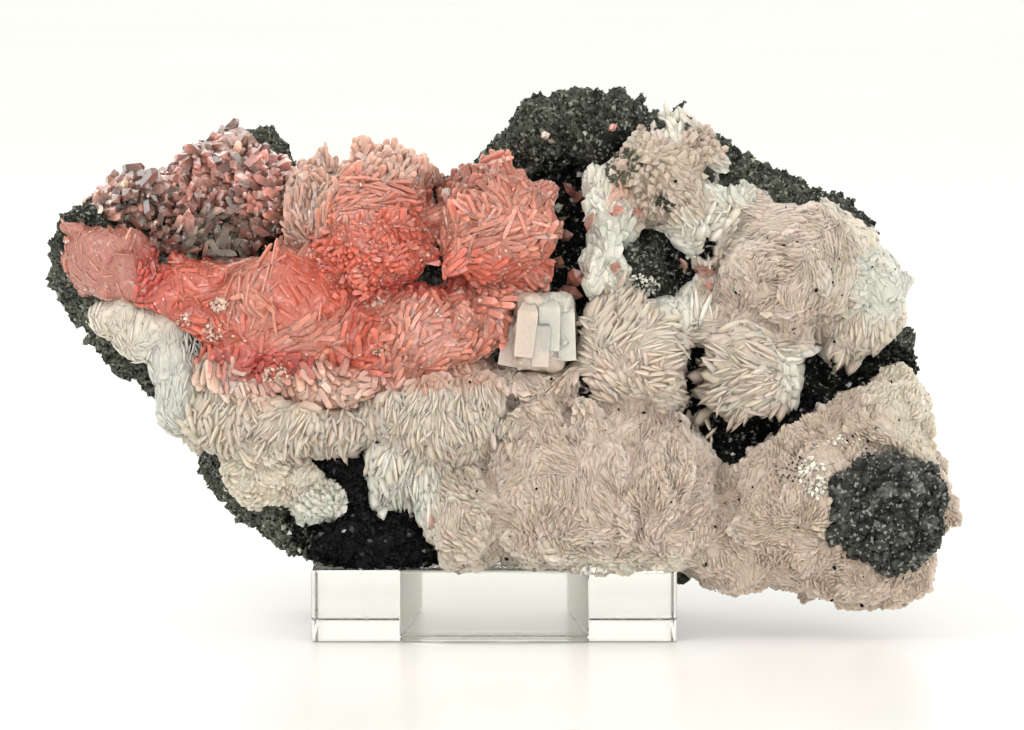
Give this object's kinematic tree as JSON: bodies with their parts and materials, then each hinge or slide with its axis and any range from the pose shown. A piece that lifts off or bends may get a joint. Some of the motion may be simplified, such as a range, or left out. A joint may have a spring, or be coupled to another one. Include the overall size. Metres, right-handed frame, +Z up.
{
  "type": "rhodochrosite mineral specimen on a clear stand",
  "caption": "Rose-red and pale pink rhodochrosite crystal crusts on a dark rock slab, leaning on a clear block stand with a slot open at the back.",
  "frame": {"origin": "middle of the underside of the stand's front wall", "axes": "+X to the right seen from the front, along the specimen's length; +Z up; -Y towards the viewer"},
  "size_m": [0.1524, 0.0523, 0.0906],
  "materials": {
    "clear_acrylic": "clear, polished",
    "dark_rock": "rough, granular, sparkling",
    "manganese_mineral": "crystalline, glinting",
    "white_calcite": "translucent, satin",
    "calcite_seam": "fibrous, satin",
    "rose_rhodochrosite": "translucent, vitreous",
    "smoky_rhodochrosite": "translucent, vitreous",
    "pale_rhodochrosite": "satin, finely bladed",
    "black_crystals": "glossy"
  },
  "bodies": {
    "root": {"acrylic_stand": "clear_acrylic", "matrix_rock": "dark_rock", "manganese_fragment": "manganese_mineral", "calcite_block": "white_calcite", "calcite_seam": "calcite_seam", "rose_crystals": "rose_rhodochrosite", "smoky_crystals": "smoky_rhodochrosite", "pale_crust": "pale_rhodochrosite", "black_druse": "black_crystals"}
  },
  "joints": []
}
